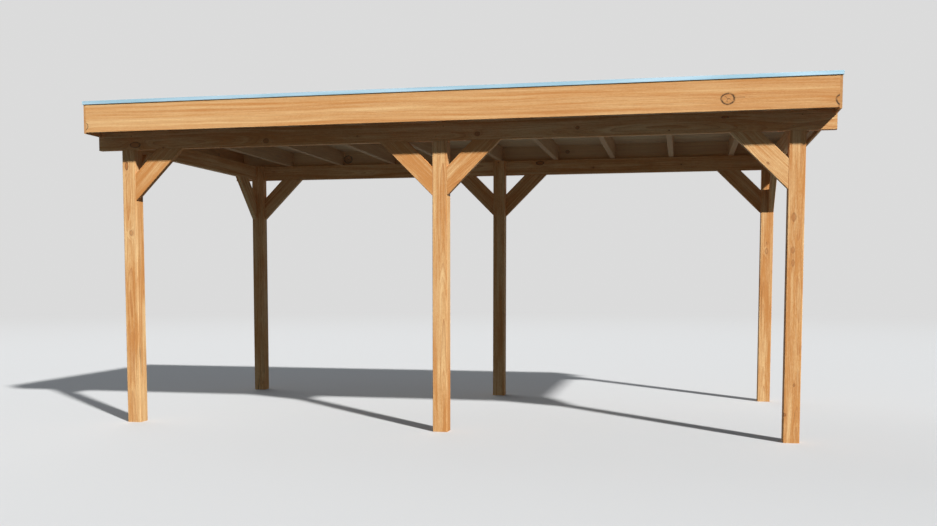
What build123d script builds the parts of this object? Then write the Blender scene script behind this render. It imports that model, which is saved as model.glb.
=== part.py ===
from build123d import *
import math
import os

# Timber carport for one long car bay: six square posts, a ring of upright beams let into the post
# tops, knee braces, rafters, a boarded flat roof with a rubber sheet, fascia boards and metal trim.
# The long side runs along X, the open front faces -Y, and Z is up from the ground.
# The origin is on the ground, under the middle of the roof. All sizes are in millimetres.

# Driving dimensions of the timber frame
frame_length = 5560.0
frame_depth = 2810.0
clear_height = 2330.0
post_side = 120.0
post_arris = 3.0
timber_arris = 2.5
beam_thick = 50.0
beam_height = 150.0
brace_thick = 50.0
brace_width = 160.0
brace_leg = 430.0
rafter_thick = 50.0
rafter_height = 150.0
rafter_count = 11

# Driving dimensions of the roof edge
side_overhang = 215.0
front_overhang = 222.0
fascia_thick = 18.0
fascia_height = 250.0
fascia_drop = 27.0
fascia_arris = 2.0
side_fascia_extra = 8.0
deck_thick = 18.0
membrane_thick = 2.0
trim_sheet = 2.0
trim_face = 27.0
trim_bead = 6.0
trim_proud = 8.0
trim_flange = 60.0
trim_return = 4.0

# Levels above the ground
beam_top = clear_height + beam_height
rafter_top = beam_top + rafter_height
deck_top = rafter_top + deck_thick
membrane_top = deck_top + membrane_thick
fascia_bottom = beam_top - fascia_drop
fascia_top = fascia_bottom + fascia_height
side_fascia_bottom = fascia_bottom - side_fascia_extra

# Outlines seen from above; the back fascia lies against the back of the frame
roof_x = frame_length / 2 + side_overhang
inside_x = roof_x - fascia_thick
roof_depth = front_overhang + frame_depth + fascia_thick
roof_front = -roof_depth / 2
roof_back = roof_depth / 2
inside_front = roof_front + fascia_thick
inside_back = roof_back - fascia_thick
frame_x = frame_length / 2
frame_front = roof_front + front_overhang
frame_back = inside_back
post_pitch = (frame_length - post_side) / 2


def finish(part, name):
    part.label = name
    export_step(part, f"parts/{name}.step")


def brace_outline(face, beam_underside, side):
    # Outline of a knee brace in its own plane, from the post face out to one side
    along = brace_width * math.sqrt(2)
    foot = beam_underside - brace_leg
    with BuildLine() as outline:
        Polyline(
            (face, foot),
            (face + side * brace_leg, beam_underside),
            (face + side * (brace_leg - along), beam_underside),
            (face, foot + along),
            close=True,
        )
    return outline.line


def trim_outline():
    # Section of the edge trim: u runs outwards from the fascia face, v runs up from the fascia top
    top = trim_sheet + trim_bead
    low = top - trim_face
    inner = trim_proud - trim_sheet
    with BuildLine() as outline:
        Polyline(
            (trim_proud, top),
            (trim_proud, low),
            (inner - trim_return, low),
            (inner - trim_return, low + trim_sheet),
            (inner, low + trim_sheet),
            (inner, 0.0),
            (-trim_flange, 0.0),
            (-trim_flange, trim_sheet),
            (inner - trim_sheet, trim_sheet),
            (inner - trim_sheet, top),
            close=True,
        )
    return outline.line


os.makedirs("parts", exist_ok=True)

# Posts
# Each post runs from the ground to the top of the beams. Its outer face is cut back for the long
# beam, and a corner post is cut back at the side as well, where the short beam rests.

rows = {"front": -1, "back": 1}
columns = {"left": -1, "middle": 0, "right": 1}

for row, row_side in rows.items():
    row_face = frame_front if row_side < 0 else frame_back
    row_y = row_face - row_side * post_side / 2
    for column, column_side in columns.items():
        column_x = column_side * post_pitch
        with BuildPart() as post:
            with BuildSketch(Plane.XY):
                with Locations((column_x, row_y)):
                    Rectangle(post_side, post_side)
            extrude(amount=beam_top)
            chamfer(post.edges().filter_by(Axis.Z), post_arris)
            with BuildSketch(Plane.XY.offset(clear_height)):
                with Locations((column_x, row_face - row_side * beam_thick / 2)):
                    Rectangle(post_side, beam_thick)
                if column_side != 0:
                    with Locations((column_side * (frame_x - beam_thick / 2), row_y)):
                        Rectangle(beam_thick, post_side)
            extrude(amount=beam_height, mode=Mode.SUBTRACT)
        finish(post.part, f"post_{row}_{column}")

# Long beams
# They run the full length of the roof over the posts. The upper corner of each end is cut away
# behind the side fascia, so that the end grain is flush with the face of that board.

for row, row_side in rows.items():
    row_face = frame_front if row_side < 0 else frame_back
    with BuildPart() as beam:
        with BuildSketch(Plane.XY.offset(clear_height)):
            with Locations((0, row_face - row_side * beam_thick / 2)):
                Rectangle(2 * roof_x, beam_thick)
        extrude(amount=beam_height)
        chamfer(beam.edges().filter_by(Axis.X), timber_arris)
        with BuildSketch(Plane.XY.offset(side_fascia_bottom)):
            with Locations((-roof_x, row_face), (roof_x, row_face)):
                Rectangle(2 * fascia_thick, 2 * beam_thick)
        extrude(amount=beam_top - side_fascia_bottom, mode=Mode.SUBTRACT)
    finish(beam.part, f"beam_{row}")

# Short beams
# They close the ring at both ends, between the two long beams.

short_beam_length = frame_depth - 2 * beam_thick
frame_middle_y = (frame_front + frame_back) / 2

for column, column_side in columns.items():
    if column_side == 0:
        continue
    with BuildPart() as beam:
        with BuildSketch(Plane.XY.offset(clear_height)):
            with Locations((column_side * (frame_x - beam_thick / 2), frame_middle_y)):
                Rectangle(beam_thick, short_beam_length)
        extrude(amount=beam_height)
        chamfer(beam.edges().filter_by(Axis.Y), timber_arris)
    finish(beam.part, f"beam_{column}")

# Knee braces along the length
# Their outer face is flush with the face of the posts: two at a middle post, one at a corner.

for row, row_side in rows.items():
    row_face = frame_front if row_side < 0 else frame_back
    brace_middle_y = row_face - row_side * brace_thick / 2
    for column, column_side in columns.items():
        for way, way_side in {"left": -1, "right": 1}.items():
            if way_side == column_side:
                continue
            post_face = column_side * post_pitch + way_side * post_side / 2
            with BuildPart() as brace:
                with BuildSketch(Plane.XZ.offset(-brace_middle_y)):
                    add(brace_outline(post_face, clear_height, way_side))
                    make_face()
                extrude(amount=brace_thick / 2, both=True)
                grain = Axis((0, 0, 0), (way_side, 0, 1))
                chamfer(brace.edges().filter_by(grain), timber_arris)
            name = f"brace_{row}_{column}"
            if column_side == 0:
                name = f"brace_{row}_{column}_{way}"
            finish(brace.part, name)

# Knee braces across the depth
# One at each corner post, flush with the outer face of the post.

for row, row_side in rows.items():
    post_face = (frame_front + post_side) if row_side < 0 else (frame_back - post_side)
    for column, column_side in columns.items():
        if column_side == 0:
            continue
        brace_middle_x = column_side * (frame_x - brace_thick / 2)
        with BuildPart() as brace:
            with BuildSketch(Plane.YZ.offset(brace_middle_x)):
                add(brace_outline(post_face, clear_height, -row_side))
                make_face()
            extrude(amount=brace_thick / 2, both=True)
            grain = Axis((0, 0, 0), (0, -row_side, 1))
            chamfer(brace.edges().filter_by(grain), timber_arris)
        finish(brace.part, f"cross_brace_{row}_{column}")

# Rafters
# Equal spaces from one side fascia to the other; they lie on the long beams.

rafter_span = 2 * inside_x - rafter_thick
rafter_gap = rafter_span / (rafter_count - 1)

for index in range(rafter_count):
    rafter_x = -rafter_span / 2 + index * rafter_gap
    with BuildPart() as rafter:
        with BuildSketch(Plane.XY.offset(beam_top)):
            with Locations((rafter_x, 0)):
                Rectangle(rafter_thick, inside_back - inside_front)
        extrude(amount=rafter_height)
        chamfer(rafter.edges().filter_by(Axis.Y), timber_arris)
    finish(rafter.part, f"rafter_{index + 1}")

# Roof boarding and rubber sheet
# The sheet covers the boarding and turns up against the fascia boards, to just under the trim.

with BuildPart() as deck:
    with BuildSketch(Plane.XY.offset(rafter_top)):
        Rectangle(2 * inside_x, inside_back - inside_front)
    extrude(amount=deck_thick)
finish(deck.part, "roof_deck")

with BuildPart() as membrane:
    with BuildSketch(Plane.XY.offset(deck_top)):
        Rectangle(2 * inside_x, inside_back - inside_front)
    extrude(amount=fascia_top - deck_top)
    with BuildSketch(Plane.XY.offset(membrane_top)):
        Rectangle(2 * (inside_x - membrane_thick), inside_back - inside_front - 2 * membrane_thick)
    extrude(amount=fascia_top - membrane_top, mode=Mode.SUBTRACT)
finish(membrane.part, "roof_sheet")

# Fascia boards
# The side boards run the full depth, cover the ends of the front and back boards and hang a
# little lower.

for row, row_side in rows.items():
    with BuildPart() as fascia:
        with BuildSketch(Plane.XY.offset(fascia_bottom)):
            with Locations((0, row_side * (roof_back - fascia_thick / 2))):
                Rectangle(2 * inside_x, fascia_thick)
        extrude(amount=fascia_height)
        chamfer(fascia.edges().filter_by(Axis.X), fascia_arris)
    finish(fascia.part, f"fascia_{row}")

for column, column_side in columns.items():
    if column_side == 0:
        continue
    with BuildPart() as fascia:
        with BuildSketch(Plane.XY.offset(side_fascia_bottom)):
            with Locations((column_side * (roof_x - fascia_thick / 2), 0)):
                Rectangle(fascia_thick, roof_depth)
        extrude(amount=fascia_top - side_fascia_bottom)
        chamfer(fascia.edges().filter_by(Axis.Y), fascia_arris)
    finish(fascia.part, f"fascia_{column}")

# Metal trim
# One length along each edge, mitred at the corners: a face with a drip return at its foot, a bead
# that stands up along the edge, and a flange that lies on the fascia and the rubber sheet.


def mitred_trim(name, plane, length):
    # The section is drawn in the middle of the edge and the ends are cut off at 45 degrees
    half = length / 2 + trim_proud
    deep = trim_proud + trim_flange
    with BuildPart() as trim:
        with BuildSketch(plane):
            add(trim_outline())
            make_face()
        extrude(amount=half, both=True)
        for way in (-1, 1):
            corner = plane.from_local_coords(Vector(trim_proud, 0, way * half))
            inner = plane.from_local_coords(Vector(-trim_flange, 0, way * (half - deep)))
            square = plane.from_local_coords(Vector(-trim_flange, 0, way * half))
            with BuildSketch(Plane.XY.offset(corner.Z - trim_face)):
                with BuildLine():
                    Polyline(
                        (corner.X, corner.Y),
                        (inner.X, inner.Y),
                        (square.X, square.Y),
                        close=True,
                    )
                make_face()
            extrude(amount=2 * trim_face, mode=Mode.SUBTRACT)
    finish(trim.part, name)


front_edge = Plane(origin=(0, roof_front, fascia_top), x_dir=(0, -1, 0), z_dir=(-1, 0, 0))
back_edge = Plane(origin=(0, roof_back, fascia_top), x_dir=(0, 1, 0), z_dir=(1, 0, 0))
left_edge = Plane(origin=(-roof_x, 0, fascia_top), x_dir=(-1, 0, 0), z_dir=(0, 1, 0))
right_edge = Plane(origin=(roof_x, 0, fascia_top), x_dir=(1, 0, 0), z_dir=(0, -1, 0))

mitred_trim("trim_front", front_edge, 2 * roof_x)
mitred_trim("trim_back", back_edge, 2 * roof_x)
mitred_trim("trim_left", left_edge, roof_depth)
mitred_trim("trim_right", right_edge, roof_depth)
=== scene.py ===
# Finishes, roof boards, screws and studio for a timber carport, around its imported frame.
# Lengths are in metres. +X runs along the roof, +Y from the open front to the back, +Z up.

import math
import random

import bmesh
import bpy
from mathutils import Matrix, Vector


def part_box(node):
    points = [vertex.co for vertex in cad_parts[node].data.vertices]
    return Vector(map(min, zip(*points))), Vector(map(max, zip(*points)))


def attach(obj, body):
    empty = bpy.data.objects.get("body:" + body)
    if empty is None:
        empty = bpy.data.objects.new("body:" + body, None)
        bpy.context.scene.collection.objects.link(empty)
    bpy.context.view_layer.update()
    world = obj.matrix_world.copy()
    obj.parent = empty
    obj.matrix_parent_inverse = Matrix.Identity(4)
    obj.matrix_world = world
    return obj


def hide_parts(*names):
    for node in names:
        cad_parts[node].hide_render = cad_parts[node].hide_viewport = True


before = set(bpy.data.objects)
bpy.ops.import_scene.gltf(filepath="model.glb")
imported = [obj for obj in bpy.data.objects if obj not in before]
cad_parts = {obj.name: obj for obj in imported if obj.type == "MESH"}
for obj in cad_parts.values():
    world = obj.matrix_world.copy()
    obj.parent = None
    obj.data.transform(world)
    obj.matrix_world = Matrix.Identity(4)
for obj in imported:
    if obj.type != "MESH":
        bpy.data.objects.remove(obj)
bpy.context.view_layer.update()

ALONG_ROOF = Vector((1, 0, 0))
ACROSS_ROOF = Vector((0, 1, 0))
UPWARDS = Vector((0, 0, 1))

chance = random.Random(1207)


# Wiring of node trees

class Wiring:
    """Adds nodes to one tree. A value is a number, a tuple or another node's socket."""

    def __init__(self, tree):
        self.tree = tree

    def node(self, kind, **settings):
        made = self.tree.nodes.new(kind)
        for name, value in settings.items():
            setattr(made, name, value)
        return made

    def feed(self, socket, value):
        if isinstance(value, bpy.types.NodeSocket):
            self.tree.links.new(value, socket)
        else:
            socket.default_value = value

    def math(self, operation, *values, clamp=False):
        made = self.node("ShaderNodeMath", operation=operation, use_clamp=clamp)
        for socket, value in zip(made.inputs, values):
            self.feed(socket, value)
        return made.outputs[0]

    def vector(self, operation, *values):
        made = self.node("ShaderNodeVectorMath", operation=operation)
        for socket, value in zip(made.inputs, values):
            self.feed(socket, value)
        return made.outputs["Value" if operation == "LENGTH" else "Vector"]

    def split(self, vector):
        made = self.node("ShaderNodeSeparateXYZ")
        self.feed(made.inputs[0], vector)
        return made.outputs[:3]

    def join(self, x, y, z):
        made = self.node("ShaderNodeCombineXYZ")
        for socket, value in zip(made.inputs, (x, y, z)):
            self.feed(socket, value)
        return made.outputs[0]

    def turned(self, vector, rotation, location=(0.0, 0.0, 0.0)):
        made = self.node("ShaderNodeMapping")
        self.feed(made.inputs["Vector"], vector)
        self.feed(made.inputs["Rotation"], rotation)
        self.feed(made.inputs["Location"], location)
        return made.outputs[0]

    def noise(self, vector, detail=2.0, roughness=0.5, scale=1.0, colour=False):
        made = self.node("ShaderNodeTexNoise")
        self.feed(made.inputs["Vector"], vector)
        self.feed(made.inputs["Scale"], scale)
        self.feed(made.inputs["Detail"], detail)
        self.feed(made.inputs["Roughness"], roughness)
        return made.outputs["Color" if colour else "Fac"]

    def scatter(self, vector):
        made = self.node("ShaderNodeTexWhiteNoise", noise_dimensions="3D")
        self.feed(made.inputs["Vector"], vector)
        return made.outputs

    def rescale(self, value, low, high, to_low=0.0, to_high=1.0, smooth=True):
        kind = "SMOOTHSTEP" if smooth else "LINEAR"
        made = self.node("ShaderNodeMapRange", interpolation_type=kind)
        for socket, given in zip(made.inputs, (value, low, high, to_low, to_high)):
            self.feed(socket, given)
        return made.outputs[0]

    def ramp(self, value, stops):
        made = self.node("ShaderNodeValToRGB")
        marks = made.color_ramp.elements
        while len(marks) < len(stops):
            marks.new(0.5)
        for mark, (place, level) in zip(marks, stops):
            mark.position = place
            mark.color = (level, level, level, 1.0)
        self.feed(made.inputs[0], value)
        return made.outputs[0]

    def blend(self, share, first, second):
        made = self.node("ShaderNodeMix", data_type="RGBA")
        self.feed(made.inputs[0], share)
        self.feed(made.inputs[6], first)
        self.feed(made.inputs[7], second)
        return made.outputs[2]

    def bell(self, value):
        return self.math("EXPONENT", self.math("MULTIPLY", value, -1.0))

    def square(self, value):
        return self.math("MULTIPLY", value, value)

    def group(self, tree, **inputs):
        made = self.node("ShaderNodeGroup", node_tree=tree)
        for name, value in inputs.items():
            self.feed(made.inputs[name], value)
        return made.outputs


def new_group(name, inputs, outputs):
    """A node group with float inputs, apart from those whose default is a tuple."""
    tree = bpy.data.node_groups.new(name, "ShaderNodeTree")
    for label, default in inputs.items():
        kind = "NodeSocketVector" if isinstance(default, tuple) else "NodeSocketFloat"
        socket = tree.interface.new_socket(label, in_out="INPUT", socket_type=kind)
        socket.default_value = default
    for label, kind in outputs.items():
        tree.interface.new_socket(label, in_out="OUTPUT", socket_type=kind)
    given = tree.nodes.new("NodeGroupInput").outputs
    told = tree.nodes.new("NodeGroupOutput").inputs
    return tree, Wiring(tree), given, told


def tint(red, green, blue):
    """Linear colour from the 0 to 255 values that a paint chart gives."""
    def linear(level):
        level /= 255.0
        return level / 12.92 if level <= 0.04045 else ((level + 0.055) / 1.055) ** 2.4
    return (linear(red), linear(green), linear(blue), 1.0)


# Larch timber
# A pattern is read in the grain's own directions: x along the grain, y across the piece and z
# towards its show face, with the heart of the tree at zero.

LIGHT_WOOD = tint(243, 201, 142)
HONEY_WOOD = tint(209, 144, 80)
LATE_WOOD = tint(174, 102, 50)
FLECK = tint(142, 90, 50)
KNOT_WOOD = tint(190, 120, 62)
KNOT_LINE = tint(142, 82, 40)
KNOT_BARK = tint(50, 35, 24)
SMEAR = tint(182, 114, 58)
CHECK = tint(74, 48, 28)
END_GRAIN = tint(184, 130, 80)
# Painted light: a paler, greyer wood mixed into pieces under the roof, standing in for brighter,
# cooler light in their shade.
PAINTED_LIGHT_WOOD = tint(214, 197, 162)

KNOT_RING = 0.0026
BUMP_STRENGTH = 0.6
GRAIN_RELIEF = 0.0006
DULL = 0.06
FLAT = (0.0, 0.0, 0.0)


def make_knot_group():
    """One branch, cut by a face: x along the grain, y across, z out from the heart."""
    tree, w, given, told = new_group(
        "knot",
        {"Place": FLAT, "Radius": 0.02, "Reach": 0.06, "Stretch": 1.2, "Dark": 0.8, "Bark": 0.5,
         "Star": 0.0, "Rim": 0.085, "Bend": 0.9, "Share": 1.0},
        {"Shape": "NodeSocketVector", "Marks": "NodeSocketVector"},
    )
    x, y, z = w.split(given["Place"])
    grown = w.rescale(w.math("DIVIDE", z, given["Reach"]), 0.0, 1.4, 0.02, 1.4, smooth=False)
    size = w.math("MULTIPLY", given["Radius"], grown)
    wobble = w.math("SUBTRACT", w.noise(given["Place"], scale=26.0), 0.5)
    u = w.math("DIVIDE", w.math("DIVIDE", x, given["Stretch"]), size)
    v = w.math("DIVIDE", y, size)
    uu = w.square(u)
    vv = w.square(v)
    away = w.math("ADD", w.math("SQRT", w.math("ADD", uu, vv)), w.math("MULTIPLY", wobble, 0.30))
    faint = w.math("SUBTRACT", 1.0, given["Dark"])
    inside = w.rescale(away, w.math("MULTIPLY_ADD", faint, 0.25, 1.05),
                       w.math("MULTIPLY_ADD", faint, -0.50, 0.95))
    mottle = w.rescale(w.noise(given["Place"], scale=120.0, detail=3.0), 0.36, 0.58)
    mottle = w.math("MULTIPLY_ADD", w.math("MULTIPLY", mottle, faint), 0.9,
                    w.math("SUBTRACT", 1.0, w.math("MULTIPLY", faint, 0.5)))
    inside = w.math("MULTIPLY", w.math("MULTIPLY", inside, mottle, clamp=True), given["Share"])
    edge = w.bell(w.square(w.math("DIVIDE", w.math("SUBTRACT", away, 1.0), given["Rim"])))
    patchy = w.rescale(w.noise(given["Place"], scale=55.0, detail=3.0), 0.34, 0.55, 0.45, 1.0)
    bark = w.math("MULTIPLY", w.math("MULTIPLY", edge, patchy),
                  w.math("MULTIPLY", given["Bark"], given["Share"]))
    outer = w.math("MULTIPLY", w.rescale(away, 0.45, 1.0), w.math("MULTIPLY", inside, given["Dark"]))
    bark = w.math("MULTIPLY_ADD", outer, 0.38, bark)
    bulge = w.bell(w.math("ADD", w.math("DIVIDE", uu, 5.5), w.math("DIVIDE", vv, 2.0)))
    push = w.math("MULTIPLY", w.math("MULTIPLY", bulge, size),
                  w.math("MULTIPLY", given["Share"], given["Bend"]))
    years = w.math("SINE", w.math("MULTIPLY", w.math("MULTIPLY", away, size), math.tau / KNOT_RING))
    lines = w.math("MULTIPLY", inside, w.math("MULTIPLY_ADD", years, 0.5, 0.5))
    turn = w.math("MULTIPLY_ADD", w.math("ARCTAN2", y, x), 1.5, w.math("MULTIPLY", wobble, 5.0))
    ray = w.math("MULTIPLY", w.math("ABSOLUTE", w.math("SINE", turn)), away)
    star = w.math("MULTIPLY", w.rescale(ray, 0.10, 0.03), w.rescale(away, 0.72, 0.45))
    crack = w.math("MULTIPLY", w.math("MULTIPLY", star, given["Star"]), inside)
    streak = w.bell(w.math("ADD", w.math("DIVIDE", uu, 16.0), w.math("DIVIDE", vv, 1.1)))
    halo = w.math("MULTIPLY", w.math("MULTIPLY", streak, given["Dark"]), given["Share"])
    w.feed(told["Shape"], w.join(push, w.math("MULTIPLY", inside, given["Dark"]), bark))
    w.feed(told["Marks"], w.join(lines, crack, halo))
    return tree


knot_group = make_knot_group()


def make_branch_group():
    """Branches at random places along the heart, at most one in each spacing."""
    tree, w, given, told = new_group(
        "branches",
        {"Place": FLAT, "Spacing": 0.5, "Radius": 0.014, "Reach": 0.06, "Seed": 0.0, "Share": 0.6,
         "Aim": math.pi / 2, "Spread": math.pi, "Dark": 0.8, "Bark": 0.4},
        {"Shape": "NodeSocketVector", "Marks": "NodeSocketVector"},
    )
    x, y, z = w.split(given["Place"])
    steps = w.math("ADD", w.math("DIVIDE", x, given["Spacing"]), given["Seed"])
    cell = w.math("FLOOR", steps)
    where, angle_draw, size_draw = w.split(w.scatter(w.join(cell, given["Seed"], 3.1))["Color"])
    share_draw = w.scatter(w.join(cell, given["Seed"], 8.7))["Value"]
    centre = w.math("ADD", cell, w.math("MULTIPLY_ADD", where, 0.5, 0.25))
    along = w.math("MULTIPLY", w.math("SUBTRACT", steps, centre), given["Spacing"])
    angle = w.math("MULTIPLY_ADD", w.math("MULTIPLY_ADD", angle_draw, 2.0, -1.0),
                   given["Spread"], given["Aim"])
    cosine = w.math("COSINE", angle)
    sine = w.math("SINE", angle)
    outwards = w.math("ADD", w.math("MULTIPLY", y, cosine), w.math("MULTIPLY", z, sine))
    aside = w.math("SUBTRACT", w.math("MULTIPLY", z, cosine), w.math("MULTIPLY", y, sine))
    leaning = w.math("MULTIPLY_ADD", outwards, -0.22, along)
    radius = w.math("MULTIPLY", given["Radius"],
                    w.math("MULTIPLY_ADD", w.square(size_draw), 0.9, 0.35))
    present = w.math("LESS_THAN", share_draw, given["Share"])
    knot = w.group(knot_group, Place=w.join(leaning, aside, outwards), Radius=radius,
                   Reach=given["Reach"], Stretch=1.25, Dark=given["Dark"], Bark=given["Bark"],
                   Star=0.6, Share=present)
    w.feed(told["Shape"], knot["Shape"])
    w.feed(told["Marks"], knot["Marks"])
    return tree


branch_group = make_branch_group()


def make_timber_group():
    """Growth rings, broad bands, fibres, flecks and knots of one piece of larch."""
    tree, w, given, told = new_group(
        "timber",
        {"Place": FLAT, "Facing": FLAT, "Shape": FLAT, "Marks": FLAT, "Ring": 0.005, "Seed": 0.0,
         "Tone": 0.0, "Lean": 0.0, "Contrast": 1.0, "Ribbon": 0.0, "Figure": 1.0, "Wander": 1.0,
         "Checks": 0.0},
        {"Colour": "NodeSocketColor", "Roughness": "NodeSocketFloat", "Height": "NodeSocketFloat"},
    )
    x, y, z = w.split(given["Place"])
    push, heart, bark = w.split(given["Shape"])
    lines, crack, halo = w.split(given["Marks"])
    seed = given["Seed"]
    seeded = w.vector("ADD", given["Place"],
                      w.join(w.math("MULTIPLY", seed, 3.7), w.math("MULTIPLY", seed, 1.3), seed))

    # The heart wanders along the piece, and the fibres waver a little round it
    drift = w.vector("SUBTRACT", w.noise(w.join(w.math("MULTIPLY", x, 0.75), seed, 0.0), detail=1.0,
                                         colour=True), (0.5, 0.5, 0.5))
    drift = w.vector("MULTIPLY", drift, (0.0, 0.09, 0.09))
    drift = w.vector("MULTIPLY", drift, w.join(given["Wander"], given["Wander"], given["Wander"]))
    waver = w.vector("SUBTRACT", w.noise(w.vector("MULTIPLY", seeded, (2.4, 12.0, 12.0)),
                                         detail=2.0, colour=True), (0.5, 0.5, 0.5))
    waver = w.vector("MULTIPLY", waver, (0.0, 0.011, 0.011))
    bent = w.vector("ADD", w.vector("ADD", w.join(0.0, y, z), drift), waver)
    radius = w.math("ADD", w.vector("LENGTH", bent), push)
    radius = w.math("MULTIPLY_ADD", x, 0.006, radius)

    # Growth rings: each fades in slowly and ends sharply
    growth = w.noise(w.join(w.math("MULTIPLY", radius, 24.0), seed, 0.0), detail=2.0)
    years = w.math("MULTIPLY_ADD", growth, 2.4, w.math("DIVIDE", radius, given["Ring"]))
    late = w.ramp(w.math("FRACT", years),
                  ((0.0, 0.0), (0.38, 0.04), (0.72, 0.45), (0.92, 1.0), (0.975, 0.9), (1.0, 0.0)))
    dense = w.scatter(w.join(w.math("FLOOR", years), seed, 1.0))["Value"]
    late = w.math("MULTIPLY", late, w.math("MULTIPLY_ADD", dense, 0.7, 0.3))

    # Broad bands of colour follow the rings, and patches follow the length
    band = w.noise(w.join(w.math("MULTIPLY", radius, 46.0), w.math("MULTIPLY", x, 0.6), seed),
                   detail=3.0, roughness=0.6)
    patch = w.noise(w.vector("MULTIPLY", seeded, (1.6, 9.0, 9.0)), detail=3.0, roughness=0.6)
    streak = w.noise(w.vector("MULTIPLY", seeded, (1.9, 84.0, 84.0)), detail=3.0, roughness=0.62)
    speck = w.noise(w.vector("MULTIPLY", seeded, (60.0, 190.0, 190.0)), detail=2.0)
    fibre = w.noise(w.vector("MULTIPLY", seeded, (16.0, 420.0, 420.0)), detail=3.0, roughness=0.65)
    dash = w.noise(w.vector("MULTIPLY", seeded, (46.0, 1300.0, 1300.0)), detail=1.0)
    fleck = w.rescale(dash, 0.60, 0.74)

    level = w.math("MULTIPLY", w.math("SUBTRACT", patch, 0.5), 1.8)
    level = w.math("MULTIPLY_ADD", w.math("SUBTRACT", streak, 0.5), 1.7, level)
    level = w.math("MULTIPLY", level, w.math("MULTIPLY_ADD", given["Ribbon"], -0.6, 1.0))
    level = w.math("MULTIPLY_ADD", w.math("SUBTRACT", band, 0.5),
                   w.math("MULTIPLY_ADD", given["Ribbon"], 1.6, 2.0), level)
    level = w.math("MULTIPLY_ADD", w.math("SUBTRACT", speck, 0.5), 0.8, level)
    level = w.math("MULTIPLY_ADD", w.math("SUBTRACT", fibre, 0.5), 1.3, level)
    level = w.math("MULTIPLY_ADD", level, given["Contrast"], 0.5)
    level = w.math("ADD", level, w.math("MULTIPLY_ADD", x, given["Lean"], given["Tone"]), clamp=True)
    colour = w.blend(level, HONEY_WOOD, LIGHT_WOOD)
    colour = w.blend(w.math("MULTIPLY", w.math("MULTIPLY", late, given["Figure"]), 0.62), colour,
                     LATE_WOOD)
    colour = w.blend(w.math("MULTIPLY", fleck, 0.38), colour, FLECK)
    colour = w.blend(w.math("MULTIPLY", halo, 0.45), colour, SMEAR)
    knot_colour = w.blend(lines, KNOT_WOOD, KNOT_LINE)
    colour = w.blend(heart, colour, knot_colour)
    colour = w.blend(w.math("MULTIPLY", bark, 1.0, clamp=True), colour, KNOT_BARK)
    colour = w.blend(w.math("MULTIPLY", crack, 0.85), colour, KNOT_BARK)

    # Drying checks open along the grain, on lines that run out from the heart
    across, outwards = w.split(bent)[1:]
    turn = w.math("MULTIPLY", w.math("ARCTAN2", outwards, across), 3.6)
    split_line = w.noise(w.join(turn, w.math("MULTIPLY", x, 0.28), seed), detail=1.0)
    open_here = w.noise(w.join(w.math("MULTIPLY", x, 1.1), w.math("MULTIPLY", turn, 0.4),
                               w.math("ADD", seed, 5.0)), detail=1.0)
    width = w.rescale(open_here, 0.55, 0.70, 0.0, 0.011)
    check = w.rescale(w.math("SUBTRACT", width, w.math("ABSOLUTE", w.math("SUBTRACT", split_line,
                                                                         0.5))), 0.0, 0.008)
    check = w.math("MULTIPLY", check, given["Checks"])
    colour = w.blend(w.math("MULTIPLY", check, 0.85), colour, CHECK)

    # End grain is darker, with the rings seen as arcs
    end = w.rescale(w.math("ABSOLUTE", w.split(given["Facing"])[0]), 0.82, 0.94)
    colour = w.blend(w.math("MULTIPLY", end, 0.55), colour, END_GRAIN)

    w.feed(told["Colour"], colour)
    rough = w.math("MULTIPLY_ADD", late, -0.10, 0.68)
    rough = w.math("MULTIPLY_ADD", fibre, 0.14, rough)
    w.feed(told["Roughness"], w.math("MULTIPLY_ADD", end, 0.12, rough))
    height = w.math("MULTIPLY_ADD", late, 0.30, w.math("MULTIPLY", fibre, 0.55))
    height = w.math("MULTIPLY_ADD", fleck, -0.35, height)
    height = w.math("MULTIPLY_ADD", heart, 0.35, height)
    height = w.math("MULTIPLY_ADD", bark, -0.8, height)
    height = w.math("MULTIPLY_ADD", check, -2.5, height)
    w.feed(told["Height"], w.math("MULTIPLY_ADD", crack, -1.5, height))
    return tree


timber_group = make_timber_group()


def grain_frame(grain, show):
    """Turns the part's directions into x along the grain, y across and z to the show face."""
    return Matrix((grain, show.cross(grain), show))


def surface(material, w, colour, roughness, height, relief):
    """The Principled shader of a finish whose colour, gloss and relief come from nodes."""
    shader = material.node_tree.nodes["Principled BSDF"]
    w.feed(shader.inputs["Base Color"], colour)
    w.feed(shader.inputs["Roughness"], roughness)
    bump = w.node("ShaderNodeBump")
    w.feed(bump.inputs["Height"], height)
    bump.inputs["Strength"].default_value = BUMP_STRENGTH
    bump.inputs["Distance"].default_value = relief
    w.feed(shader.inputs["Normal"], bump.outputs[0])
    return shader


def new_material(name):
    material = bpy.data.materials.new(name)
    material.use_nodes = True
    return material, Wiring(material.node_tree)


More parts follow.
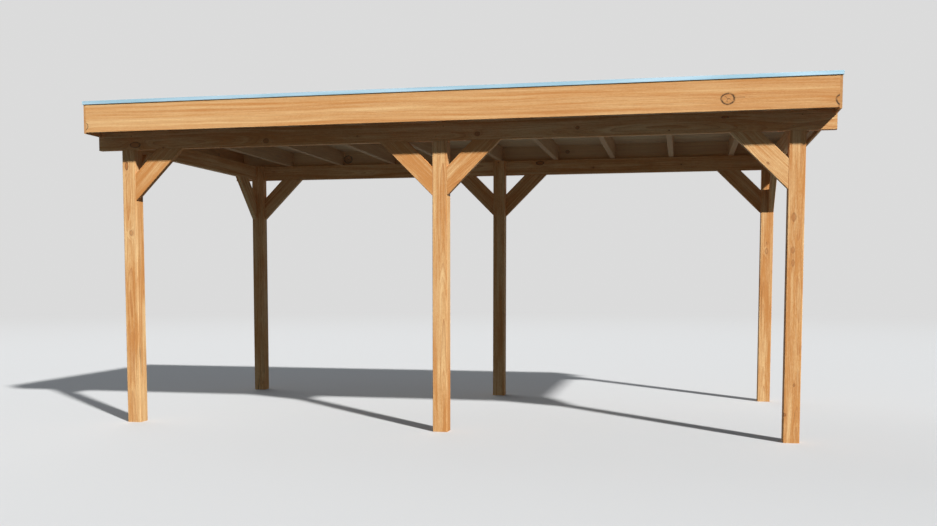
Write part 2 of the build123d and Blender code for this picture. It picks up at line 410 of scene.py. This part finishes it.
def timber(name, centre, grain, show, heart, ring=0.0052, tone=0.0, lean=0.0, contrast=1.0,
           ribbon=0.0, figure=1.0, wander=1.0, checks=0.0, painted_light=0.0, gloss=0.24, knots=(),
           branches=None, board_places=None):
    """A timber finish. heart is the tree's centre from the piece's centre, as (across, towards
    the show face). tone makes the wood paler, and lean does so with the way along the grain.
    painted_light mixes in a paler, greyer wood as painted light for pieces that sit in shade.
    knots are set ones: (point on the face, way the branch points, sizes). branches are the
    settings of the random ones."""
    material, w = new_material(name)
    coordinates = w.node("ShaderNodeTexCoord")
    point = coordinates.outputs["Object"]
    if board_places:
        place = w.node("ShaderNodeAttribute", attribute_name=board_places)
        point = w.vector("SUBTRACT", point, place.outputs["Vector"])
    turn = grain_frame(grain, show)
    rotation = turn.to_euler()
    heart_place = Vector((0.0, heart[0], heart[1]))
    place = w.turned(point, rotation, -(turn @ centre) - heart_place)
    facing = w.turned(coordinates.outputs["Normal"], rotation)
    seed = chance.uniform(1.0, 60.0)
    shape, marks = FLAT, FLAT
    found = []
    for spot, way, sizes in knots:
        aim = grain_frame(grain, way)
        reach = sizes["Reach"]
        knot_place = w.turned(point, aim.to_euler(), Vector((0, 0, reach)) - aim @ spot)
        found.append(w.group(knot_group, Place=knot_place, **sizes))
    if branches:
        found.append(w.group(branch_group, Place=place, Seed=seed, **branches))
    for knot in found:
        shape = w.vector("ADD", shape, knot["Shape"])
        marks = w.vector("ADD", marks, knot["Marks"])
    wood = w.group(timber_group, Place=place, Facing=facing, Shape=shape, Marks=marks, Ring=ring,
                   Seed=seed, Tone=tone, Lean=lean, Contrast=contrast, Ribbon=ribbon,
                   Figure=figure, Wander=wander, Checks=checks)
    # Painted light: paler, greyer wood mixed in where the piece sits in shade.
    colour = w.blend(painted_light, wood["Colour"], PAINTED_LIGHT_WOOD)
    shader = surface(material, w, colour, wood["Roughness"], wood["Height"], GRAIN_RELIEF)
    shader.inputs["Specular IOR Level"].default_value = gloss
    return material


def middle(node):
    low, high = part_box(node)
    return (low + high) / 2


def finish(node, material):
    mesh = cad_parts[node].data
    mesh.materials.clear()
    mesh.materials.append(material)


FRONT = Vector((0, -1, 0))
BACK = Vector((0, 1, 0))
LEFT = Vector((-1, 0, 0))
RIGHT = Vector((1, 0, 0))
OUT = {"front": FRONT, "back": BACK, "left": LEFT, "right": RIGHT}


def run(side):
    """The way in which the boards on one side of the roof lie."""
    return ALONG_ROOF if side in ("front", "back") else ACROSS_ROOF


# Branches that leave the heart all round, as in a post sawn from a whole stem
ALL_ROUND = {"Spacing": 0.62, "Radius": 0.015, "Reach": 0.06, "Share": 0.7, "Spread": math.pi,
             "Dark": 0.75, "Bark": 0.35}
# Branches that point at the show face, as in a board sawn beside the heart
FACEWAYS = {"Spacing": 0.85, "Radius": 0.017, "Reach": 0.08, "Share": 0.6, "Spread": 0.45,
            "Dark": 0.75, "Bark": 0.3}

front_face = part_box("fascia_front")[0].y
back_inner_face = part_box("fascia_back")[0].y
post_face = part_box("post_front_left")[0].y
back_post_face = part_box("post_back_left")[0].y

# Posts
post_knots = {
    "post_front_left": [
        (Vector((-2.740, post_face, 2.196)), FRONT,
         {"Radius": 0.015, "Reach": 0.06, "Stretch": 2.3, "Dark": 0.8, "Bark": 0.6}),
        (Vector((-2.712, post_face, 1.628)), FRONT,
         {"Radius": 0.016, "Reach": 0.06, "Stretch": 1.3, "Dark": 0.5, "Bark": 0.4}),
    ],
    "post_front_right": [
        (Vector((2.705, post_face, 1.693)), FRONT,
         {"Radius": 0.017, "Reach": 0.06, "Stretch": 2.0, "Dark": 0.55, "Bark": 0.12}),
        (Vector((2.703, post_face, 1.449)), FRONT,
         {"Radius": 0.014, "Reach": 0.06, "Stretch": 1.8, "Dark": 0.50, "Bark": 0.12}),
        (Vector((2.705, post_face, 1.353)), FRONT,
         {"Radius": 0.012, "Reach": 0.06, "Stretch": 2.2, "Dark": 0.50, "Bark": 0.10}),
        (Vector((2.732, post_face, 0.440)), FRONT,
         {"Radius": 0.007, "Reach": 0.06, "Stretch": 1.6, "Dark": 0.6, "Bark": 0.8}),
    ],
    "post_back_right": [
        (Vector((2.719, back_post_face, 1.515)), FRONT,
         {"Radius": 0.014, "Reach": 0.06, "Stretch": 1.9, "Dark": 0.4, "Bark": 0.3}),
    ],
}
post_tones = {"post_front_left": -0.10, "post_front_middle": -0.04, "post_front_right": -0.34,
              "post_back_right": -0.16}
# The level rises with height in a post that is paler at its top
post_leans = {"post_front_left": -0.10, "post_front_middle": 0.30, "post_back_right": -0.05}
for row in ("front", "back"):
    for column in ("left", "middle", "right"):
        node = f"post_{row}_{column}"
        heart = (chance.uniform(-0.03, 0.03), chance.uniform(-0.045, 0.0))
        finish(node, timber(node, middle(node), UPWARDS, OUT[row], heart,
                            ring=chance.uniform(0.0045, 0.006), tone=post_tones.get(node, 0.0),
                            lean=post_leans.get(node, 0.0), contrast=1.1, checks=1.0,
                            knots=post_knots.get(node, ()), branches=ALL_ROUND))

# Beams
front_beam_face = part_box("beam_front")[0].y
back_beam_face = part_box("beam_back")[0].y
beam_knots = {
    "beam_front": [
        (Vector((-2.656, front_beam_face, 2.371)), FRONT,
         {"Radius": 0.024, "Reach": 0.08, "Stretch": 1.9, "Dark": 0.6, "Bark": 0.9}),
        (Vector((2.196, front_beam_face, 2.443)), FRONT,
         {"Radius": 0.008, "Reach": 0.08, "Stretch": 3.2, "Dark": 0.8, "Bark": 1.0}),
    ],
    "beam_back": [
        (Vector((0.424, back_beam_face, 2.450)), FRONT,
         {"Radius": 0.020, "Reach": 0.08, "Stretch": 2.0, "Dark": 0.9, "Bark": 1.0}),
    ],
}
for side, way in OUT.items():
    node = f"beam_{side}"
    heart = (chance.uniform(-0.05, 0.05), -chance.uniform(0.05, 0.09))
    finish(node, timber(node, middle(node), run(side), way, heart,
                        tone=chance.uniform(-0.1, 0.05), ribbon=0.4, figure=0.8, checks=0.6,
                        knots=beam_knots.get(node, ()), branches=FACEWAYS))

# Knee braces: the grain runs up the slope, and each entry says which way it rises
BRACE_RISES = {"left": RIGHT, "middle_left": LEFT, "middle_right": RIGHT, "right": LEFT}
brace_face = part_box("brace_front_right")[0].y
brace_knots = {
    "brace_front_right": [
        (Vector((2.512, brace_face, 2.095)), FRONT,
         {"Radius": 0.007, "Reach": 0.06, "Stretch": 1.8, "Dark": 0.7, "Bark": 0.6}),
        (Vector((2.498, brace_face, 2.044)), FRONT,
         {"Radius": 0.006, "Reach": 0.06, "Stretch": 1.6, "Dark": 0.6, "Bark": 0.6}),
    ],
}
brace_tones = {"brace_front_left": -0.34, "brace_front_middle_left": -0.34,
               "brace_front_middle_right": -0.36, "brace_front_right": 0.02}
for row in ("front", "back"):
    for end, rise in BRACE_RISES.items():
        node = f"brace_{row}_{end}"
        grain = (rise + UPWARDS).normalized()
        heart = (chance.uniform(-0.08, 0.08), -chance.uniform(0.03, 0.08))
        finish(node, timber(node, middle(node), grain, OUT[row], heart,
                            tone=brace_tones.get(node, -0.05), knots=brace_knots.get(node, ())))
    for end in ("left", "right"):
        node = f"cross_brace_{row}_{end}"
        grain = (UPWARDS - OUT[row]).normalized()
        heart = (chance.uniform(-0.08, 0.08), -chance.uniform(0.03, 0.08))
        finish(node, timber(node, middle(node), grain, OUT[end], heart,
                            tone=chance.uniform(-0.1, 0.15)))

# Rafters
RAFTERS = 11
for index in range(RAFTERS):
    node = f"rafter_{index + 1}"
    heart = (chance.uniform(-0.05, 0.05), -chance.uniform(0.02, 0.07))
    # Painted shade: the rafters' wood is darker and greyer, so their undersides, lit from below,
    # stay as dim as the shaded deck between them.
    finish(node, timber(node, middle(node), ACROSS_ROOF, RIGHT, heart,
                        tone=chance.uniform(-0.60, -0.42), painted_light=0.40, gloss=DULL,
                        branches=FACEWAYS))

# Fascia boards
fascia_knots = {
    "fascia_front": [
        (Vector((2.206, front_face, 2.540)), FRONT,
         {"Radius": 0.038, "Reach": 0.10, "Stretch": 1.22, "Dark": 0.12, "Bark": 1.0, "Star": 1.0,
          "Rim": 0.135, "Bend": 0.3}),
        (Vector((2.290, front_face, 2.549)), FRONT,
         {"Radius": 0.006, "Reach": 0.10, "Stretch": 6.0, "Dark": 0.3, "Bark": 0.5, "Bend": 0.3}),
        (Vector((2.994, front_face, 2.508)), FRONT,
         {"Radius": 0.037, "Reach": 0.10, "Stretch": 1.05, "Dark": 0.1, "Bark": 1.0, "Rim": 0.15,
          "Bend": 0.3}),
        (Vector((2.972, front_face, 2.464)), FRONT,
         {"Radius": 0.017, "Reach": 0.10, "Stretch": 0.14, "Dark": 0.9, "Bark": 1.0, "Bend": 0.2}),
        (Vector((-2.990, front_face, 2.505)), FRONT,
         {"Radius": 0.030, "Reach": 0.10, "Stretch": 1.1, "Dark": 0.1, "Bark": 0.8, "Star": 0.6,
          "Rim": 0.11, "Bend": 0.3}),
    ],
    "fascia_back": [
        (Vector((-1.700, back_inner_face, 2.545)), FRONT,
         {"Radius": 0.040, "Reach": 0.10, "Stretch": 1.15, "Dark": 0.6, "Bark": 1.0, "Star": 1.0,
          "Rim": 0.12, "Bend": 0.4}),
        (Vector((0.707, back_inner_face, 2.565)), FRONT,
         {"Radius": 0.017, "Reach": 0.10, "Stretch": 1.2, "Dark": 0.9, "Bark": 1.0, "Bend": 0.4}),
    ],
}
for side, way in OUT.items():
    node = f"fascia_{side}"
    heart = (-chance.uniform(0.28, 0.36), -0.12)
    # Painted light: the back board's wood is paler, lifting its inner face in the shaded recess
    # under the roof.
    tone, painted_light = (0.40, 0.25) if side == "back" else (-0.10, 0.0)
    finish(node, timber(node, middle(node), run(side), way, heart, ring=0.0075, figure=1.2,
                        tone=tone, lean=-0.03, contrast=0.60, ribbon=0.8, wander=0.35,
                        painted_light=painted_light, knots=fascia_knots.get(node, ())))


# Edge metal and rubber

def edge_metal(name, along):
    """Mill-finish aluminium strip, faintly lined along its length. Its light blue tint is a painted
    reflection of a blue sky.
    """
    material, w = new_material(name)
    point = w.node("ShaderNodeTexCoord").outputs["Object"]
    place = w.turned(point, grain_frame(along, UPWARDS).to_euler())
    lines = w.noise(w.vector("MULTIPLY", place, (3.0, 900.0, 900.0)), detail=2.0)
    cloud = w.noise(w.vector("MULTIPLY", place, (1.4, 20.0, 20.0)), detail=3.0)
    # Painted reflection: these blue tints stand in for sky mirrored in the metal, not the
    # aluminium's own colour.
    colour = w.blend(w.rescale(cloud, 0.35, 0.65), tint(169, 197, 208), tint(191, 211, 220))
    roughness = w.math("MULTIPLY_ADD", lines, 0.10, w.math("MULTIPLY_ADD", cloud, 0.06, 0.80))
    shader = surface(material, w, colour, roughness, lines, 0.00008)
    shader.inputs["Metallic"].default_value = 1.0
    return material


for side in OUT:
    finish(f"trim_{side}", edge_metal(f"trim_{side}", run(side)))


def roof_rubber():
    """Matt black rubber with a little dust and faint marks where rain has stood."""
    material, w = new_material("roof_rubber")
    point = w.node("ShaderNodeTexCoord").outputs["Object"]
    dust = w.noise(point, scale=1.7, detail=6.0, roughness=0.62)
    speck = w.noise(point, scale=260.0, detail=2.0)
    dusty = w.rescale(dust, 0.42, 0.72)
    colour = w.blend(w.math("MULTIPLY", dusty, 0.55), tint(52, 53, 55), tint(104, 100, 94))
    colour = w.blend(w.math("MULTIPLY", speck, 0.25), colour, tint(120, 118, 112))
    roughness = w.math("MULTIPLY_ADD", dusty, 0.08, 0.84)
    shader = surface(material, w, colour, roughness, speck, 0.0004)
    shader.inputs["Specular IOR Level"].default_value = 0.22
    return material


finish("roof_sheet", roof_rubber())

# Roof boards
BOARD_ROWS = 25
BOARD_GAP = 0.0018
V_JOINT = 0.005
TONGUE_INSET = 0.004
TONGUE = 0.0015
BOARD_SHIFT = 40.0
BOARD_PLACE = "board_place"


def lay_roof_boards():
    """Rows of boards from side to side, butted over the rafters, with V joints underneath."""
    low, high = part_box("roof_deck")
    pitch = (high.y - low.y) / BOARD_ROWS
    rafters = [middle(f"rafter_{index + 1}").x for index in range(RAFTERS)]
    boards = bmesh.new()
    place = boards.verts.layers.float_vector.new(BOARD_PLACE)
    for row in range(BOARD_ROWS):
        joints = sorted(chance.sample(rafters[2:-2], 2))
        ends = [low.x, *joints, high.x]
        for start, stop in zip(ends, ends[1:]):
            length = stop - start - BOARD_GAP
            centre = Vector(((start + stop) / 2, low.y + (row + 0.5) * pitch, (low.z + high.z) / 2))
            size = Matrix.Diagonal((length, pitch - BOARD_GAP, high.z - low.z, 1.0))
            made = bmesh.ops.create_cube(boards, size=1.0, matrix=Matrix.Translation(centre) @ size)
            lower = [edge for vert in made["verts"] for edge in vert.link_edges
                     if all(v.co.z < centre.z for v in edge.verts)
                     and abs(edge.verts[0].co.y - edge.verts[1].co.y) < BOARD_GAP]
            edges = list(dict.fromkeys(lower))
            bmesh.ops.bevel(boards, geom=edges, offset=V_JOINT, segments=1, profile=0.5,
                            affect="EDGES", material=-1)
            faces = dict.fromkeys(face for vert in made["verts"] if vert.is_valid
                                  for face in vert.link_faces)
            side = max(faces, key=lambda face: face.calc_center_median().y)
            bmesh.ops.inset_region(boards, faces=[side], thickness=TONGUE_INSET)
            tongue = bmesh.ops.extrude_discrete_faces(boards, faces=[side])["faces"][0]
            bmesh.ops.translate(boards, verts=list(tongue.verts), vec=ACROSS_ROOF * TONGUE)
            # Every board is cut from another place in the tree
            shift = Vector((chance.uniform(-BOARD_SHIFT, BOARD_SHIFT),
                            centre.y + chance.uniform(-0.03, 0.03), chance.uniform(-0.02, 0.02)))
            for vert in boards.verts:
                if vert[place].length == 0.0:
                    vert[place] = shift
    mesh = bpy.data.meshes.new("roof_boards")
    boards.to_mesh(mesh)
    boards.free()
    piece = bpy.data.objects.new("roof_boards", mesh)
    bpy.context.collection.objects.link(piece)
    # Painted light: the boards' wood is paler and greyer, lifting the shaded ceiling between the
    # rafters.
    piece.data.materials.append(
        timber("roof_boards", Vector((0.0, 0.0, (low.z + high.z) / 2)), ALONG_ROOF, -UPWARDS,
               (0.0, -0.07), tone=0.10, painted_light=0.45, gloss=DULL, branches=FACEWAYS,
               board_places=BOARD_PLACE))
    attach(piece, "root")
    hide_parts("roof_deck")


lay_roof_boards()

# Screws
# Flat heads in the lower edges of the braces and where the beams lie in the posts, and small
# domed ones that hold the edge trim down on the fascia boards.
WOOD_SCREW = 0.0045
WOOD_SCREW_HEIGHT = 0.0010
TRIM_SCREW = 0.0040
TRIM_SCREW_HEIGHT = 0.0022
TRIM_SCREW_SPACING = 0.35
TRIM_SHEET = 0.002
BRACE_SCREW_INSET = 0.07
BRACE_SCREW_ASIDE = 0.012
LONG_BEAM = 0.05
BEAM_SCREW_RISE = 0.04
BEAM_SCREW_STEP = 0.03
HEAD_SIDES = 12
# Shares of a head's radius, and of its height for the depth and the rounding
HEAD_TAPER = 0.94
HEAD_ROUNDING = 0.5
RECESS_RIM = 0.36
RECESS_LOBE = 0.3
RECESS_WALL = 0.05
RECESS_DEPTH = 0.7


def screw_metal(name, dark, light, rough):
    """Plated steel, a little uneven."""
    material, w = new_material(name)
    point = w.node("ShaderNodeTexCoord").outputs["Object"]
    cloud = w.noise(point, scale=310.0, detail=2.0)
    speck = w.noise(point, scale=2600.0, detail=1.0)
    colour = w.blend(cloud, dark, light)
    roughness = w.math("MULTIPLY_ADD", cloud, 0.14, rough)
    shader = surface(material, w, colour, roughness, speck, 0.00005)
    shader.inputs["Metallic"].default_value = 1.0
    return material


def screw_head(heads, spot, way, radius, height):
    """A low head with a rounded rim and a six-lobed recess for the driver."""
    turn = Matrix.Rotation(chance.uniform(0.0, math.tau), 4, "Z")
    lay = Matrix.Translation(spot) @ way.to_track_quat("Z", "Y").to_matrix().to_4x4() @ turn
    made = bmesh.ops.create_cone(heads, cap_ends=True, segments=HEAD_SIDES, radius1=radius,
                                 radius2=radius * HEAD_TAPER, depth=height,
                                 matrix=lay @ Matrix.Translation((0, 0, height / 2)))
    crown = max({face for vert in made["verts"] for face in vert.link_faces},
                key=lambda face: (face.calc_center_median() - spot).dot(way))
    bevelled = bmesh.ops.bevel(heads, geom=list(crown.edges), offset=height * HEAD_ROUNDING,
                               segments=2, profile=0.5, affect="EDGES", material=-1)
    faces = {face for vert in bevelled["verts"] for face in vert.link_faces}
    crown = max(faces, key=lambda face: (face.calc_center_median() - spot).dot(way))
    bmesh.ops.inset_region(heads, faces=[crown], thickness=radius * RECESS_RIM)
    centre = crown.calc_center_median()
    for index, vert in enumerate(crown.verts):
        if index % 2:
            vert.co = vert.co.lerp(centre, RECESS_LOBE)
    bmesh.ops.inset_region(heads, faces=[crown], thickness=radius * RECESS_WALL,
                           depth=-height * RECESS_DEPTH)


def put_screws(name, places, radius, height, material):
    """One piece with a head at each place: (point on the surface, way the head faces)."""
    heads = bmesh.new()
    for spot, way in places:
        screw_head(heads, spot, way, radius, height)
    mesh = bpy.data.meshes.new(name)
    heads.to_mesh(mesh)
    heads.free()
    mesh.materials.append(material)
    piece = bpy.data.objects.new(name, mesh)
    bpy.context.collection.objects.link(piece)
    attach(piece, "root")


def brace_screws():
    """Two screws side by side near each end of a brace, square to its lower edge."""
    braces = [(f"brace_{row}_{end}", rise) for row in ("front", "back")
              for end, rise in BRACE_RISES.items()]
    braces += [(f"cross_brace_{row}_{end}", -OUT[row]) for row in ("front", "back")
               for end in ("left", "right")]
    places = []
    for node, rise in braces:
        low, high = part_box(node)
        reach = abs((high - low).dot(rise)) / 2
        half = rise * reach + UPWARDS * (high.z - low.z) / 2
        along = half.normalized()
        way = (rise - UPWARDS).normalized()
        aside = along.cross(way)
        for end in (-1, 1):
            spot = middle(node) + (half - along * BRACE_SCREW_INSET) * end
            places += [(spot + aside * BRACE_SCREW_ASIDE, way),
                       (spot - aside * BRACE_SCREW_ASIDE, way)]
    return places


def beam_screws():
    """Two screws through a beam into each post that it lies in."""
    places = []
    for row in ("front", "back"):
        for column in ("left", "middle", "right"):
            post = middle(f"post_{row}_{column}")
            for side in (row, column):
                if side == "middle":
                    continue
                way = OUT[side]
                low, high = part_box(f"beam_{side}")
                along = run(side)
                spot = (low + high) / 2
                spot += along * (post - spot).dot(along) + way * abs((high - low).dot(way)) / 2
                step = UPWARDS * BEAM_SCREW_RISE
                if side == row:
                    step += along * BEAM_SCREW_STEP
                else:
                    # Clear of the long beam that crosses inside the same post
                    spot -= OUT[row] * LONG_BEAM / 2
                places += [(spot + step, way), (spot - step, way)]
    return places


def trim_screws():
    """Equal spaces along the middle of each fascia board's top edge."""
    places = []
    for side in OUT:
        low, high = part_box(f"fascia_{side}")
        along = run(side)
        length = (high - low).dot(along)
        count = round(length / TRIM_SCREW_SPACING)
        centre = (low + high) / 2
        centre.z = high.z + TRIM_SHEET
        for index in range(count):
            shift = ((index + 0.5) / count - 0.5) * length
            places.append((centre + along * shift, UPWARDS))
    return places


plated = screw_metal("plated_steel", tint(132, 104, 66), tint(158, 128, 84), 0.50)
stainless = screw_metal("stainless_steel", tint(150, 156, 160), tint(178, 182, 184), 0.34)
put_screws("brace_screws", brace_screws(), WOOD_SCREW, WOOD_SCREW_HEIGHT, plated)
put_screws("beam_screws", beam_screws(), WOOD_SCREW, WOOD_SCREW_HEIGHT, plated)
put_screws("trim_screws", trim_screws(), TRIM_SCREW, TRIM_SCREW_HEIGHT, stainless)


# Studio
FLOOR_RADIUS = 70.0
FLOOR_COLOUR = (0.66, 0.66, 0.655, 1.0)
WHITE = (1.0, 1.0, 1.0, 1.0)
FILL_COLOUR = (0.84, 1.02, 1.24, 1.0)
BACKDROP = 0.71
SKY_FILL = 0.108
KEY_LIGHT = 5.0
BACK_LIGHT = 0.7


def seen_directly(w):
    """1 for what the camera sees, itself or in metal, and 0 for light on the object."""
    path = w.node("ShaderNodeLightPath")
    seen = w.math("MAXIMUM", path.outputs["Is Camera Ray"], path.outputs["Is Glossy Ray"])
    return w.math("MAXIMUM", seen, path.outputs["Is Transmission Ray"])


def studio_floor():
    """A wide pale disc that runs into the backdrop and keeps the carport's shadow."""
    disc = bmesh.new()
    bmesh.ops.create_circle(disc, cap_ends=True, segments=96, radius=FLOOR_RADIUS)
    mesh = bpy.data.meshes.new("floor")
    disc.to_mesh(mesh)
    disc.free()
    floor = bpy.data.objects.new("floor", mesh)
    bpy.context.collection.objects.link(floor)
    material, w = new_material("pale_floor")
    seen = seen_directly(w)
    shader = material.node_tree.nodes["Principled BSDF"]
    shader.inputs["Roughness"].default_value = 0.9
    shader.inputs["Specular IOR Level"].default_value = 0.1
    shader.inputs["Base Color"].default_value = FLOOR_COLOUR
    glow = w.node("ShaderNodeEmission")
    glow.inputs["Color"].default_value = (BACKDROP, BACKDROP, BACKDROP, 1.0)
    far = w.vector("LENGTH", w.node("ShaderNodeTexCoord").outputs["Object"])
    ground = w.node("ShaderNodeMixShader")
    w.feed(ground.inputs[0], w.rescale(far, 9.0, 30.0))
    w.feed(ground.inputs[1], shader.outputs[0])
    w.feed(ground.inputs[2], glow.outputs[0])

    # The studio's even fill also reaches the object from below
    open_below = w.node("ShaderNodeBsdfTransparent")
    shown = w.node("ShaderNodeMixShader")
    w.feed(shown.inputs[0], seen)
    w.feed(shown.inputs[1], open_below.outputs[0])
    w.feed(shown.inputs[2], ground.outputs[0])
    w.feed(material.node_tree.nodes["Material Output"].inputs["Surface"], shown.outputs[0])
    mesh.materials.append(material)


def studio_light():
    """An even fill from all round, a key lamp like a low sun and a soft lamp from behind."""
    world = bpy.data.worlds.new("studio")
    world.use_nodes = True
    bpy.context.scene.world = world
    w = Wiring(world.node_tree)
    background = world.node_tree.nodes["Background"]
    w.feed(background.inputs["Color"],
           w.blend(seen_directly(w), FILL_COLOUR, WHITE))
    w.feed(background.inputs["Strength"],
           w.rescale(seen_directly(w), 0.0, 1.0, SKY_FILL, BACKDROP, smooth=False))
    for name, strength, spread, source in (
        ("key", KEY_LIGHT, 2.5, Vector((1.015, -1.0, 1.015))),
        ("back", BACK_LIGHT, 60.0, Vector((-1.0, 1.2, 0.9))),
    ):
        light = bpy.data.lights.new(name, "SUN")
        light.energy = strength
        light.angle = math.radians(spread)
        lamp = bpy.data.objects.new(name, light)
        bpy.context.collection.objects.link(lamp)
        lamp.rotation_euler = source.to_track_quat("Z", "Y").to_euler()


def camera():
    """The photograph's viewing angle, as fitted to the frame."""
    lens = bpy.data.cameras.new("camera")
    lens.sensor_fit = "HORIZONTAL"
    lens.sensor_width = 36.0
    lens.lens = 39.2
    lens.shift_x = 0.0078
    lens.shift_y = 0.0926
    eye = bpy.data.objects.new("camera", lens)
    bpy.context.collection.objects.link(eye)
    eye.location = (1.904, -9.281, 1.230)
    eye.rotation_euler = (math.radians(86.07), 0.0, math.radians(12.22))
    bpy.context.scene.camera = eye


studio_floor()
studio_light()
camera()
bpy.context.scene.view_settings.view_transform = "Standard"
